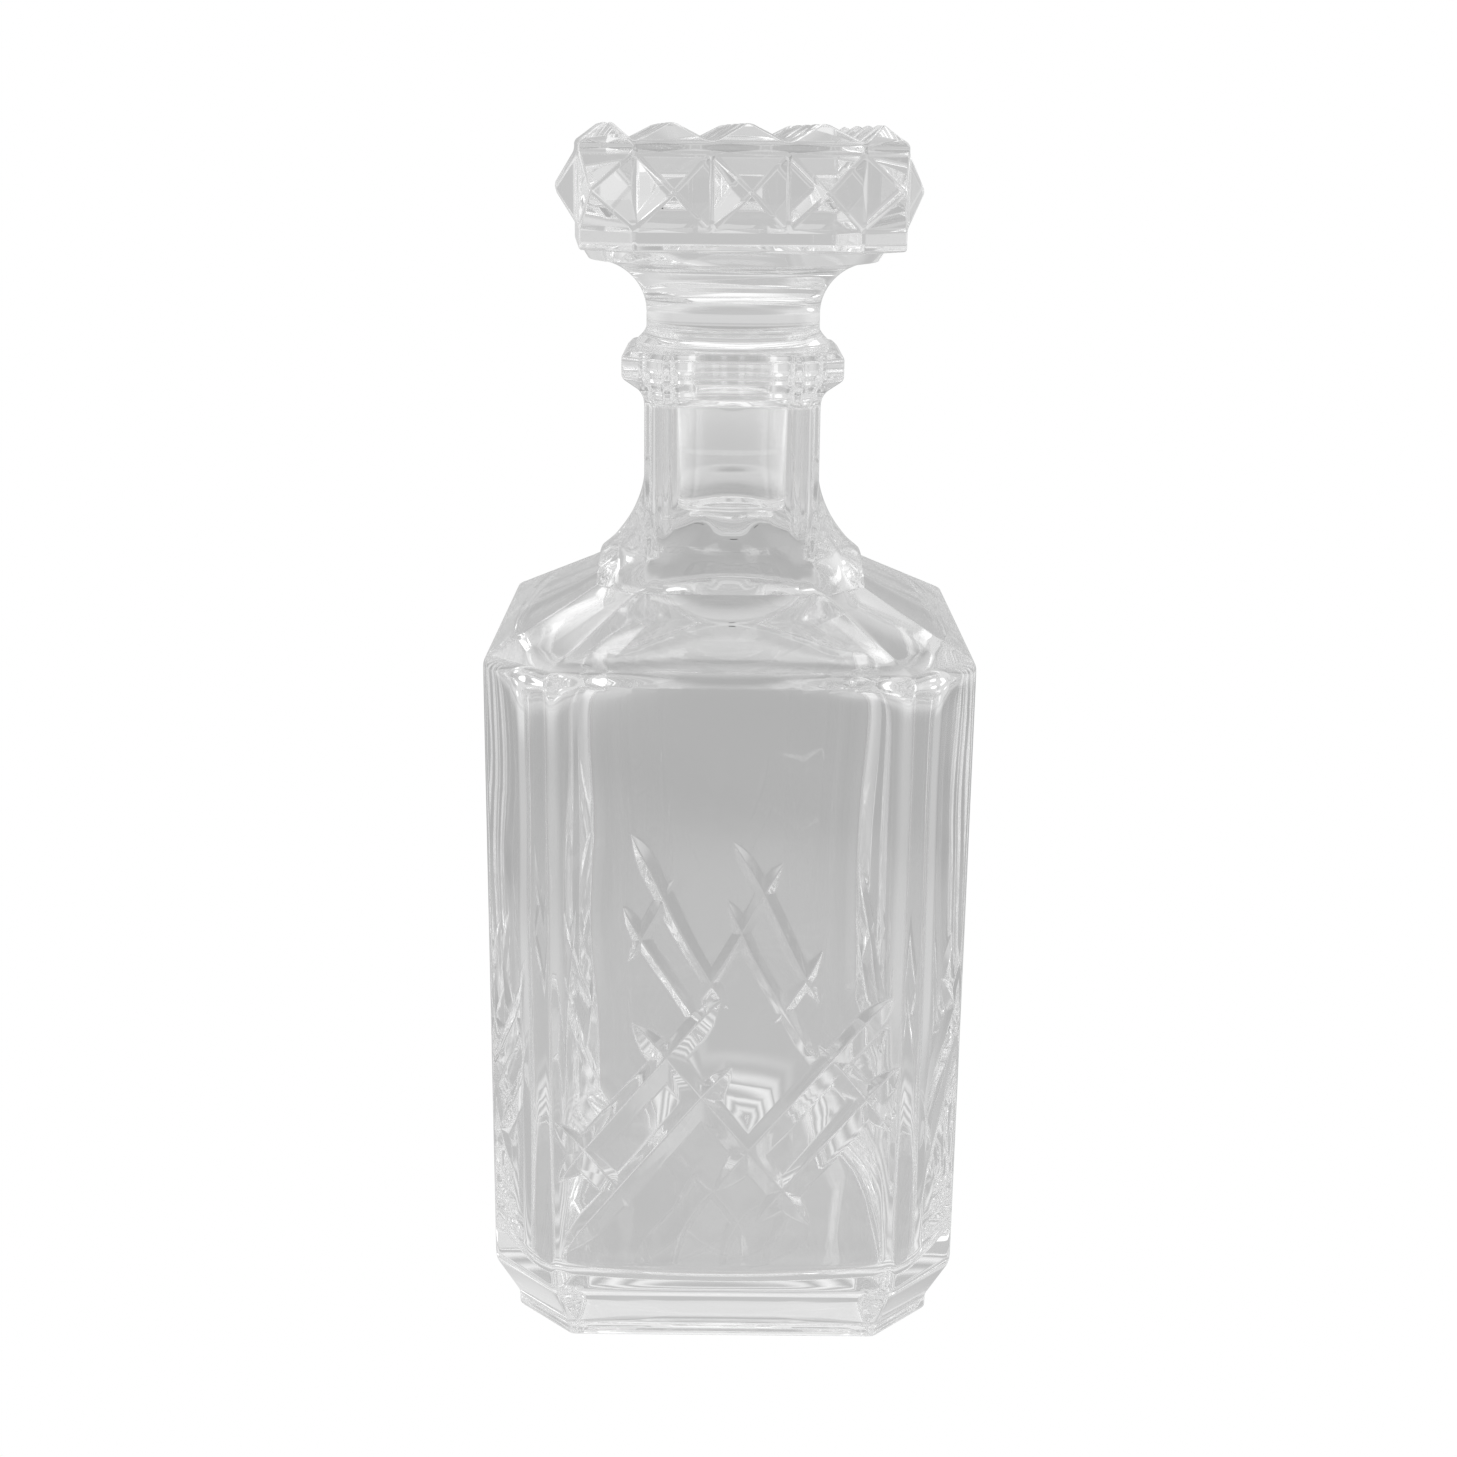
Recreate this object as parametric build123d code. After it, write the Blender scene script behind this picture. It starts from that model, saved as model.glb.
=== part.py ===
from build123d import *
import os
from math import cos, hypot, radians, sin, sqrt

# A square cut-crystal decanter with canted corners and its solid glass stopper.
# Millimetres, +Z up. The origin is the middle of the foot, on the surface that it stands on.

# Body, as half widths across the flats
body_half = 45.0
body_cant = 12.3
foot_half = 40.7
foot_rim_top = 3.0
foot_slope_top = 12.2
shoulder_edge_height = 134.5
shoulder_top_height = 145.0
plinth_half = 25.3
plinth_cant = 7.6

# Neck and collar
neck_half = 16.4
neck_cant = 3.7
collar_half = 20.6
collar_cant = 7.7
collar_slope_bottom = 180.2
collar_fillet = 2.2
collar_side_bottom = 183.0
collar_side_top = 187.0
collar_top = 188.3
collar_bevel = 1.3
bell_start_height = 167.0
bell_radius = 22.9
bell_arc_drop = 15.0
bell_mid_height = 148.9
bell_bottom_height = 144.0

# Hollow inside
chamber_half = 40.0
chamber_side_radius = 110.0
chamber_corner_radius = 8.5
chamber_floor = 11.4
chamber_floor_round = 5.0
dome_side_radius = 49.5
dome_spring_height = 121.0
dome_top_radius = 38.0
dome_top_height = 134.8
dome_bulge_inset = 2.6
dome_bulge_rise = 9.4
throat_radius = 19.0
throat_height = 142.5
throat_arc_radius = 13.8
throat_arc_rise = 8.1
neck_hollow_half = 14.0
neck_hollow_corner_radius = 3.5
neck_hollow_bottom = 141.5
neck_hollow_top = 179.6
neck_hollow_top_round = 1.8
flare_height = 160.0
bore_radius = 12.0
mouth_clear = 1.0

# Mitre cuts: a V-edged wheel run straight across each face
cut_depth = 1.5
cut_half_width = 2.7
cut_wheel_radius = 27.0
cut_angle = 51.0
lattice_pitch = 24.7
lattice_pair_gap = 10.4
lattice_centre_height = 47.0

# Stopper
stopper_turn = 5.0
facet_width = 13.35
facets_per_side = 3
head_half = 29.45
head_bottom = 206.5
side_point_bottom = 210.4
side_point_top = 223.4
side_point_reach = 4.15
crown_base = 225.2
crown_reach = 3.5
crown_corner_tip = 24.0
spool_top_radius = 29.0
spool_lip_radius = 26.9
spool_lip_height = 204.0
scotia_inset = 2.6
scotia_rise = 4.6
waist_radius = 16.4
waist_top_height = 194.4
waist_bottom_height = 191.4
seat_radius = 18.4
seat_flare_inset = 0.6
seat_flare_rise = 1.5
plug_top_radius = 11.7
plug_bottom_radius = 10.6
plug_bottom = 157.5
plug_chamfer_bottom = 156.0
plug_chamfer_radius = 7.9
nub_radius = 6.7
nub_bottom = 153.7

reach = 200.0  # longer than anything here, for solids that are only used to trim others
quarter_turns = [0, 90, 180, 270]


def canted_square(half, cant):
    """A square face with its four corners cut off, on the plane z = 0."""
    flat = half - cant
    corners = [(half, -flat), (half, flat), (flat, half), (-flat, half)]
    corners += [(-half, flat), (-half, -flat), (-flat, -half), (flat, -half)]
    return make_face(Polyline(*corners, close=True))


def canted_prism(half, cant, bottom, top):
    """An upright canted-square bar."""
    return extrude(Pos(0, 0, bottom) * canted_square(half, cant), top - bottom)


def canted_frustum(lower, upper, bottom, top):
    """A straight-sided step from one canted square, (half, cant), to another."""
    sections = [Pos(0, 0, bottom) * canted_square(*lower), Pos(0, 0, top) * canted_square(*upper)]
    return loft(sections, ruled=True)


def turned(outline):
    """A solid turned about the Z axis from lines and arcs given as (radius, height)."""
    return revolve(Plane.XZ * make_face(outline), Axis.Z)


def collar_slab(half, root_half):
    """The outline of neck and collar between two opposite faces, drawn out through the bottle."""
    width = half - root_half
    height = collar_side_bottom - collar_slope_bottom
    share = collar_fillet / hypot(width, height)
    fillet_bottom = (root_half, collar_slope_bottom - collar_fillet)
    fillet_top = (root_half + width * share, collar_slope_bottom + height * share)
    # the middle of a curve that is drawn towards the corner between neck and slope
    fillet_middle = (
        root_half + width * share / 4,
        collar_slope_bottom + (height * share - collar_fillet) / 4,
    )
    right = Line((root_half, shoulder_edge_height), fillet_bottom)
    right += ThreePointArc(fillet_bottom, fillet_middle, fillet_top)
    right += Polyline(fillet_top, (half, collar_side_bottom), (half, collar_side_top))
    right += Line((half, collar_side_top), (half - collar_bevel, collar_top))
    top = Line((half - collar_bevel, collar_top), (0, collar_top))
    bottom = Line((0, shoulder_edge_height), (root_half, shoulder_edge_height))
    middle = Line((0, collar_top), (0, shoulder_edge_height))
    half_slab = extrude(Plane.XZ * make_face(right + top + bottom + middle), reach, both=True)
    return half_slab + mirror(half_slab, Plane.YZ)


def neck_and_collar():
    """The neck with its collar: canted-square bars that share one curved outline."""
    across_flats = collar_slab(collar_half, neck_half)
    corner_half = (2 * collar_half - collar_cant) / sqrt(2)
    corner_root = (2 * neck_half - neck_cant) / sqrt(2)
    across_corners = Rot(0, 0, 45) * collar_slab(corner_half, corner_root)
    flats = across_flats & Rot(0, 0, 90) * across_flats
    corners = across_corners & Rot(0, 0, 90) * across_corners
    return flats & corners


def bell():
    """The round flare between neck and shoulder, with its foot cut to a canted square."""
    start = (neck_half, bell_start_height)
    centre_radius = neck_half + bell_radius
    middle_radius = centre_radius - sqrt(bell_radius**2 - (bell_arc_drop / 2) ** 2)
    end_radius = centre_radius - sqrt(bell_radius**2 - bell_arc_drop**2)
    middle = (middle_radius, bell_start_height - bell_arc_drop / 2)
    end = (end_radius, bell_start_height - bell_arc_drop)
    skirt = (hypot(plinth_half, plinth_half - plinth_cant), shoulder_top_height)
    outline = ThreePointArc(start, middle, end)
    outline += ThreePointArc(end, (plinth_half, bell_mid_height), skirt)
    outline += Polyline(skirt, (skirt[0], bell_bottom_height), (0, bell_bottom_height))
    outline += Polyline((0, bell_bottom_height), (0, bell_start_height), start)
    plinth = canted_prism(plinth_half, plinth_cant, bell_bottom_height, bell_start_height)
    return turned(outline) & plinth


def bottle_outside():
    """The bottle as a solid block of glass, from foot to collar."""
    foot = (foot_half, body_cant * foot_half / body_half)
    body = (body_half, body_cant)
    plinth = (plinth_half, plinth_cant)
    block = canted_prism(*foot, 0, foot_rim_top)
    block += canted_frustum(foot, body, foot_rim_top, foot_slope_top)
    block += canted_prism(*body, foot_slope_top, shoulder_edge_height)
    block += canted_frustum(body, plinth, shoulder_edge_height, shoulder_top_height)
    return block + bell() + neck_and_collar()


def chamber():
    """The main hollow: a square with bowed sides and round corners, and a rounded floor."""
    offset = chamber_side_radius - chamber_half
    side_centres = [(offset, 0), (0, offset), (-offset, 0), (0, -offset)]
    section = Pos(side_centres[0]) * Circle(chamber_side_radius)
    for centre in side_centres[1:]:
        section = section & Pos(centre) * Circle(chamber_side_radius)
    section = fillet(section.vertices(), chamber_corner_radius)
    hollow = extrude(Pos(0, 0, chamber_floor) * section, collar_top + mouth_clear - chamber_floor)
    floor_edges = hollow.faces().sort_by(Axis.Z)[0].edges()
    return fillet(floor_edges, chamber_floor_round)


def hollow_turning():
    """The turned shape that gives the hollow its dome, its throat and the bore at the mouth."""
    dome_side = (dome_side_radius, dome_spring_height)
    dome_top = (dome_top_radius, dome_top_height)
    dome_bulge = (dome_side_radius - dome_bulge_inset, dome_spring_height + dome_bulge_rise)
    throat = (throat_radius, throat_height)
    throat_middle = (throat_arc_radius, throat_height + throat_arc_rise)
    flare_top = (bore_radius, flare_height)
    open_top = collar_top + mouth_clear
    outline = Polyline((0, chamber_floor), (dome_side_radius, chamber_floor), dome_side)
    outline += ThreePointArc(dome_side, dome_bulge, dome_top)
    outline += Line(dome_top, throat)
    outline += ThreePointArc(throat, throat_middle, flare_top)
    outline += Polyline(flare_top, (bore_radius, open_top), (0, open_top), (0, chamber_floor))
    return turned(outline)


def neck_hollow():
    """The wide part of the neck's inside: a square with round corners, closed in at its top."""
    section = RectangleRounded(2 * neck_hollow_half, 2 * neck_hollow_half, neck_hollow_corner_radius)
    hollow = extrude(Pos(0, 0, neck_hollow_bottom) * section, neck_hollow_top - neck_hollow_bottom)
    top_edges = hollow.faces().sort_by(Axis.Z)[-1].edges()
    return fillet(top_edges, neck_hollow_top_round)


def wheel_cutter(length):
    """The glass that a V-edged wheel takes out, tip to tip, along X with the surface at z = 0."""
    clear = 1.0
    spread = cut_half_width * (cut_depth + clear) / cut_depth
    edge = Plane.YZ * make_face(
        Polyline((0, -cut_depth), (spread, clear), (-spread, clear), close=True)
    )
    run_in = sqrt(2 * cut_wheel_radius * cut_depth - cut_depth**2)
    straight = length - 2 * run_in
    wheel_axis = Axis((0, 0, cut_wheel_radius - cut_depth), (0, 1, 0))
    wheel = revolve(edge, wheel_axis)
    bar = extrude(edge, straight / 2, both=True)
    return bar + Pos(-straight / 2, 0, 0) * wheel + Pos(straight / 2, 0, 0) * wheel


def lattice_cuts():
    """Each cut on a face as (middle across, middle height, length, angle).

    Rising cuts come in pairs and falling cuts are single. Each runs past its last crossing.
    """
    rise = (cos(radians(cut_angle)), sin(radians(cut_angle)))
    fall = (rise[0], -rise[1])
    inner = (lattice_pitch - lattice_pair_gap) / 2
    outer = inner + lattice_pair_gap
    # place along the falling line, then the lower and upper ends along the rising line
    rising = [(-outer, -32.5, 16.5), (-inner, -41.5, 9.2), (inner, -10.0, 42.0), (outer, -8.0, 34.5)]
    # place along the rising line, then the upper and lower ends along the falling line
    falling = [(-lattice_pitch, -26.0, -2.3), (0.0, -27.8, 26.0), (lattice_pitch, 2.4, 25.2)]
    cuts = []
    for place, low, high in rising:
        along = (low + high) / 2
        across = fall[0] * place + rise[0] * along
        up = fall[1] * place + rise[1] * along
        cuts.append((across, lattice_centre_height + up, high - low, cut_angle))
    for place, low, high in falling:
        along = (low + high) / 2
        across = rise[0] * place + fall[0] * along
        up = rise[1] * place + fall[1] * along
        cuts.append((across, lattice_centre_height + up, high - low, -cut_angle))
    return cuts


def face_cutters():
    """Every cut of the lattice, on all four faces of the body."""
    cutters = []
    for turn in quarter_turns:
        for across, up, length, angle in lattice_cuts():
            direction = (cos(radians(angle)), 0, sin(radians(angle)))
            face = Plane(origin=(across, -body_half, up), x_dir=direction, z_dir=(0, -1, 0))
            cutters.append(Rot(0, 0, turn) * (face * wheel_cutter(length)))
    return cutters


def point(corners, tip):
    """A pyramid on a base of three or more corners."""
    faces = [make_face(Polyline(*corners, close=True))]
    for first, second in zip(corners, corners[1:] + corners[:1]):
        faces.append(make_face(Polyline(first, second, tip, close=True)))
    return Solid(Shell(faces))


def side_point(distance, turn, offset):
    """One diamond point on an upright face of the head."""
    left = offset - facet_width / 2
    right = offset + facet_width / 2
    base = [(left, side_point_bottom), (right, side_point_bottom)]
    base += [(right, side_point_top), (left, side_point_top)]
    corners = [(across, -distance, height) for across, height in base]
    middle = (side_point_bottom + side_point_top) / 2
    return Rot(0, 0, turn) * point(corners, (offset, -distance - side_point_reach, middle))


def crown_point(corners, across, along):
    """One diamond point on the top of the head, with its tip at (across, along)."""
    base = [(x, y, crown_base) for x, y in corners]
    return point(base, (across, along, crown_base + crown_reach))


def head_points():
    """Every diamond point of the head: round the sides, round the rim and over the middle."""
    flat = facet_width * facets_per_side / 2
    corner_distance = (head_half + flat) / sqrt(2)
    steps = [(index - (facets_per_side - 1) / 2) * facet_width for index in range(facets_per_side)]
    half_step = facet_width / 2
    rim_middle = (head_half + flat) / 2
    points = []
    for turn in quarter_turns:
        points += [side_point(head_half, turn, offset) for offset in steps]
        points.append(side_point(corner_distance, turn + 45, 0))
        for offset in steps:
            left, right = offset - half_step, offset + half_step
            rim = [(left, -head_half), (right, -head_half), (right, -flat), (left, -flat)]
            points.append(Rot(0, 0, turn) * crown_point(rim, offset, -rim_middle))
        corner = [(flat, -head_half), (head_half, -flat), (flat, -flat)]
        corner_point = crown_point(corner, crown_corner_tip, -crown_corner_tip)
        points.append(Rot(0, 0, turn) * corner_point)
    for x in steps:
        for y in steps:
            square = [(x - half_step, y - half_step), (x + half_step, y - half_step)]
            square += [(x + half_step, y + half_step), (x - half_step, y + half_step)]
            points.append(crown_point(square, x, y))
    return points


def stopper_turning():
    """The spool under the head, the seat that rests on the collar, and the tapered plug."""
    scotia_bottom = (waist_radius, waist_top_height)
    scotia_top = (spool_lip_radius, spool_lip_height)
    scotia_middle = (waist_radius + scotia_inset, waist_top_height + scotia_rise)
    seat = (seat_radius, collar_top)
    flare_middle = (waist_radius + seat_flare_inset, collar_top + seat_flare_rise)
    outline = Polyline((0, nub_bottom), (nub_radius, nub_bottom), (nub_radius, plug_chamfer_bottom))
    outline += Polyline(
        (nub_radius, plug_chamfer_bottom),
        (plug_chamfer_radius, plug_chamfer_bottom),
        (plug_bottom_radius, plug_bottom),
        (plug_top_radius, collar_top),
        seat,
    )
    outline += ThreePointArc(seat, flare_middle, (waist_radius, waist_bottom_height))
    outline += Line((waist_radius, waist_bottom_height), scotia_bottom)
    outline += ThreePointArc(scotia_bottom, scotia_middle, scotia_top)
    outline += Polyline(scotia_top, (spool_top_radius, head_bottom), (0, head_bottom), (0, nub_bottom))
    return turned(outline)


def bottle():
    """The bottle, hollow, with its lattice of cuts."""
    hollow = (chamber() & hollow_turning()) + neck_hollow()
    return bottle_outside() - hollow - face_cutters()


def stopper():
    """The solid stopper, seated on the collar and turned a little from square."""
    flat = facet_width * facets_per_side / 2
    head = canted_prism(head_half, head_half - flat, head_bottom, crown_base)
    return Rot(0, 0, stopper_turn) * (head + head_points() + stopper_turning())


os.makedirs("parts", exist_ok=True)
for name, shape in {"bottle": bottle(), "stopper": stopper()}.items():
    shape.label = name
    export_step(shape, f"parts/{name}.step")
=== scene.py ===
import logging
from dataclasses import dataclass, field
from enum import Enum
from math import cos, hypot, pi, radians, sin, sqrt

import bmesh
import bpy
import numpy as np
from mathutils import Euler, Matrix, Vector


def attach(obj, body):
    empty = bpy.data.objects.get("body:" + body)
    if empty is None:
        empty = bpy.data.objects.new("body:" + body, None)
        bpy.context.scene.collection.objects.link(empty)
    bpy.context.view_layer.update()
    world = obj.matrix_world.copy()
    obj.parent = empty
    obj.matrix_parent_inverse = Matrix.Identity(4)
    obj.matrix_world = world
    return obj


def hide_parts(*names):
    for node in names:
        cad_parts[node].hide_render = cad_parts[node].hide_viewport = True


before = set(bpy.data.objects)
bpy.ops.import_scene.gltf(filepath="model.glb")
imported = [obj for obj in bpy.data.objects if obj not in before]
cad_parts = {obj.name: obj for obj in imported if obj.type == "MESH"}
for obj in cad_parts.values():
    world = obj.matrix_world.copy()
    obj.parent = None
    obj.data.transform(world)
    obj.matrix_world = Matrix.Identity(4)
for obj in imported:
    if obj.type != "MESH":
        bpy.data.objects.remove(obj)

log = logging.getLogger("decanter")

MM = 0.001  # metres in a millimetre
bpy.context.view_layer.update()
Point = tuple[float, float, float]


# ---------------------------------------------------------------- small helpers


def linear(hex_colour: str) -> tuple[float, float, float, float]:
    """Turns an sRGB hex colour into linear light.

    Args:
        hex_colour: Six hex digits, with or without a leading hash.

    Returns:
        Red, green, blue and an alpha of 1.
    """
    digits = hex_colour.lstrip("#")
    channels = [int(digits[start:start + 2], 16) / 255 for start in (0, 2, 4)]
    curve = [c / 12.92 if c <= 0.04045 else ((c + 0.055) / 1.055) ** 2.4 for c in channels]
    return (curve[0], curve[1], curve[2], 1.0)


def add_node(
    tree: bpy.types.NodeTree,
    kind: str,
    inputs: dict[str, object] | None = None,
    **settings: object,
) -> bpy.types.Node:
    """Adds a shader node with its settings, values and links.

    Args:
        tree: The node tree to add to.
        kind: The node's type name.
        inputs: For each input's name, a value or the output socket that feeds it.
        settings: Properties of the node itself.

    Returns:
        The new node.
    """
    node = tree.nodes.new(kind)
    for name, value in settings.items():
        setattr(node, name, value)
    for name, value in (inputs or {}).items():
        if isinstance(value, bpy.types.NodeSocket):
            tree.links.new(value, node.inputs[name])
        else:
            node.inputs[name].default_value = value
    return node


def soft_min(values: np.ndarray, softness: float) -> np.ndarray:
    """The smallest along the first axis, blended over softness so that ridges come out round."""
    lowest = values.min(axis=0)
    return lowest - softness * np.log(np.exp((lowest - values) / softness).sum(axis=0))


def soft_max(values: np.ndarray, softness: float) -> np.ndarray:
    """The largest along the first axis, blended over softness so that creases come out round."""
    return -soft_min(-values, softness)


def rounded(corners: list[tuple[float, ...]], radii: list[float], steps: int = 5) -> np.ndarray:
    """A path through corners with each inner corner rounded off.

    Args:
        corners: Points of two or more coordinates.
        radii: How far from each corner the rounding starts, one for each corner.
        steps: How many spans each rounding has.

    Returns:
        The path's points, one a row.
    """
    points = [np.array(corner, float) for corner in corners]
    path = [points[0]]
    for before, here, after, reach in zip(points, points[1:], points[2:], radii[1:]):
        if reach == 0:
            path.append(here)
            continue
        start = here + (before - here) / np.linalg.norm(before - here) * reach
        end = here + (after - here) / np.linalg.norm(after - here) * reach
        for step in range(steps + 1):
            t = step / steps
            path.append(start * (1 - t) ** 2 + here * 2 * t * (1 - t) + end * t ** 2)
    path.append(points[-1])
    return np.array(path)


def subdivided(path: np.ndarray, longest: float) -> np.ndarray:
    """The same path with extra points, so that no span is longer than longest.

    Args:
        path: The points, one a row.
        longest: The longest span allowed.

    Returns:
        The denser path.
    """
    dense = [path[0]]
    for start, end in zip(path, path[1:]):
        spans = max(1, int(np.ceil(np.linalg.norm(end - start) / longest)))
        dense += [start + (end - start) * step / spans for step in range(1, spans + 1)]
    return np.array(dense)


def placed(name: str, data: bpy.types.ID) -> bpy.types.Object:
    """A new object in the scene with the given mesh or camera."""
    made = bpy.data.objects.new(name, data)
    bpy.context.scene.collection.objects.link(made)
    return made


def ring(reach: np.ndarray, angles: np.ndarray, height: float) -> np.ndarray:
    """The points that stand a reach away from the axis in each direction, at one height."""
    return np.stack([reach * np.cos(angles), reach * np.sin(angles), np.full_like(angles, height)], 1)


def quads(rows: int, count: int) -> list[tuple[int, ...]]:
    """The faces between rings that follow each other.

    Args:
        rows: How many rings there are.
        count: How many points each ring has.

    Returns:
        The corners of each face, by number.
    """
    return [
        (low + step, low + (step + 1) % count, low + count + (step + 1) % count, low + count + step)
        for low in range(0, (rows - 1) * count, count)
        for step in range(count)
    ]


def skin_of_rings(name: str, rings: list[np.ndarray]) -> bpy.types.Object:
    """A closed mesh from rings of points, drawn to a point at each end.

    Args:
        name: The new object's name.
        rings: Rings of equal length, in millimetres, in order along the surface.

    Returns:
        The mesh object, in metres.
    """
    count = len(rings[0])
    points = [tuple(p) for p in np.concatenate(rings) * MM]
    first_pole, last_pole = len(points), len(points) + 1
    points += [tuple(rings[0].mean(axis=0) * MM), tuple(rings[-1].mean(axis=0) * MM)]
    faces = quads(len(rings), count)
    top = (len(rings) - 1) * count
    for step in range(count):
        following = (step + 1) % count
        faces.append((first_pole, following, step))
        faces.append((last_pole, top + step, top + following))
    mesh = bpy.data.meshes.new(name)
    mesh.from_pydata(points, [], faces)
    mesh.validate()
    return placed(name, mesh)


def mesh_from(name: str, points: list[Point], faces: list[tuple[int, ...]]) -> bpy.types.Object:
    """A mesh object from points in millimetres and faces, with its normals pointing out.

    Args:
        name: The new object's name.
        points: The corners, in millimetres.
        faces: The corners of each face, by number.

    Returns:
        The mesh object, in metres.
    """
    mesh = bpy.data.meshes.new(name)
    mesh.from_pydata([tuple(c * MM for c in p) for p in points], [], faces)
    shape = bmesh.new()
    shape.from_mesh(mesh)
    bmesh.ops.remove_doubles(shape, verts=shape.verts, dist=1e-6)
    bmesh.ops.recalc_face_normals(shape, faces=shape.faces)
    shape.to_mesh(mesh)
    shape.free()
    return placed(name, mesh)


def apply_modifiers(target: bpy.types.Object) -> None:
    """Turns an object's modifiers into its own mesh."""
    graph = bpy.context.evaluated_depsgraph_get()
    mesh = bpy.data.meshes.new_from_object(target.evaluated_get(graph))
    target.modifiers.clear()
    target.data = mesh


def carve(target: bpy.types.Object, tools: list[bpy.types.Object], operation: str) -> None:
    """Cuts tools out of an object, or joins them to it, and removes the tools.

    Args:
        target: The object that is changed.
        tools: Closed meshes.
        operation: A boolean operation, DIFFERENCE or UNION.
    """
    group = bpy.data.collections.new(target.name + "_tools")
    bpy.context.scene.collection.children.link(group)
    for tool in tools:
        group.objects.link(tool)
    boolean = target.modifiers.new("carve", "BOOLEAN")
    boolean.operation = operation
    boolean.solver = "EXACT"
    boolean.operand_type = "COLLECTION"
    boolean.collection = group
    apply_modifiers(target)
    for tool in tools:
        bpy.data.objects.remove(tool)
    bpy.data.collections.remove(group)


def polish(target: bpy.types.Object, crease: float) -> None:
    """Shades a mesh smooth, keeping edges sharper than crease, with its large faces flat.

    Args:
        target: The object that is shaded.
        crease: The angle in degrees above which an edge stays sharp.
    """
    for face in target.data.polygons:
        face.use_smooth = True
    target.data.set_sharp_from_angle(angle=radians(crease))
    weighted = target.modifiers.new("polished_faces", "WEIGHTED_NORMAL")
    weighted.keep_sharp = True
    weighted.weight = 100


# ---------------------------------------------------------------- glass


class Surface(Enum):
    """How a piece of glass got its surface: the swell and the ripple it left, in millimetres."""

    FIRE_POLISHED = (0.02, 0.002)
    PRESSED = (0.035, 0.0035)

    @property
    def swell_height(self) -> float:
        """How high the slow swell stands."""
        return self.value[0]

    @property
    def ripple_height(self) -> float:
        """How high the fine ripple stands."""
        return self.value[1]


@dataclass(frozen=True)
class LeadCrystal:
    """Clear lead crystal: colourless, bright at its edges, with the faint swell of moulded glass.

    The swell comes from the hot glass meeting a cooler mould, and it bends what is seen through
    a flat wall a little. Handling leaves a trace of bloom, which softens the highlights in places.
    """

    name: str
    surface: Surface
    ior: float = 1.545
    body_colour: str = "#FDFDFD"
    swell_spacing_mm: float = 17.0
    ripple_spacing_mm: float = 4.5
    bloom_spacing_mm: float = 26.0
    bloom_from: float = 0.5
    bloom_full: float = 0.85
    bloom_roughness: float = 0.035

    def material(self) -> bpy.types.Material:
        """Builds the glass material.

        Returns:
            A material with refraction, a moulded swell and ripple, and uneven bloom.
        """
        made = bpy.data.materials.new(self.name)
        made.use_nodes = True
        tree = made.node_tree
        tree.nodes.clear()
        place = add_node(tree, "ShaderNodeTexCoord").outputs["Object"]
        swell = add_node(
            tree, "ShaderNodeTexNoise",
            {"Vector": place, "Scale": 1 / (self.swell_spacing_mm * MM), "Detail": 1.0},
        ).outputs["Fac"]
        ripple = add_node(
            tree, "ShaderNodeTexNoise",
            {"Vector": place, "Scale": 1 / (self.ripple_spacing_mm * MM), "Detail": 2.0},
        ).outputs["Fac"]
        swell_bump = add_node(
            tree, "ShaderNodeBump",
            {"Height": swell, "Distance": self.surface.swell_height * MM, "Strength": 1.0},
        ).outputs["Normal"]
        bump = add_node(
            tree, "ShaderNodeBump",
            {"Height": ripple, "Distance": self.surface.ripple_height * MM, "Strength": 1.0,
             "Normal": swell_bump},
        ).outputs["Normal"]
        bloom = add_node(
            tree, "ShaderNodeTexNoise",
            {"Vector": place, "Scale": 1 / (self.bloom_spacing_mm * MM), "Detail": 4.0},
        ).outputs["Fac"]
        roughness = add_node(
            tree, "ShaderNodeMapRange",
            {"Value": bloom, "From Min": self.bloom_from, "From Max": self.bloom_full,
             "To Min": 0.0, "To Max": self.bloom_roughness},
        ).outputs["Result"]
        glass = add_node(
            tree, "ShaderNodeBsdfPrincipled",
            {"Base Color": linear(self.body_colour), "Transmission Weight": 1.0, "IOR": self.ior,
             "Roughness": roughness, "Normal": bump},
        ).outputs["BSDF"]
        add_node(tree, "ShaderNodeOutputMaterial", {"Surface": glass})
        return made


# ---------------------------------------------------------------- bottle


@dataclass(frozen=True)
class CantedSquare:
    """A square with its corners cut off, by its half width and how much each corner loses."""

    half: float
    cant: float

    @property
    def corner(self) -> float:
        """How far the cut corners stand from the middle."""
        return (2 * self.half - self.cant) / sqrt(2)

    @property
    def station(self) -> tuple[float, float]:
        """The distances of the flats and of the corners from the middle."""
        return (self.half, self.corner)


@dataclass
class MitreCut:
    """A straight wheel cut on a face, from tip to tip, in millimetres across and up the face."""

    across: float
    up: float
    length: float
    angle: float


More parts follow.
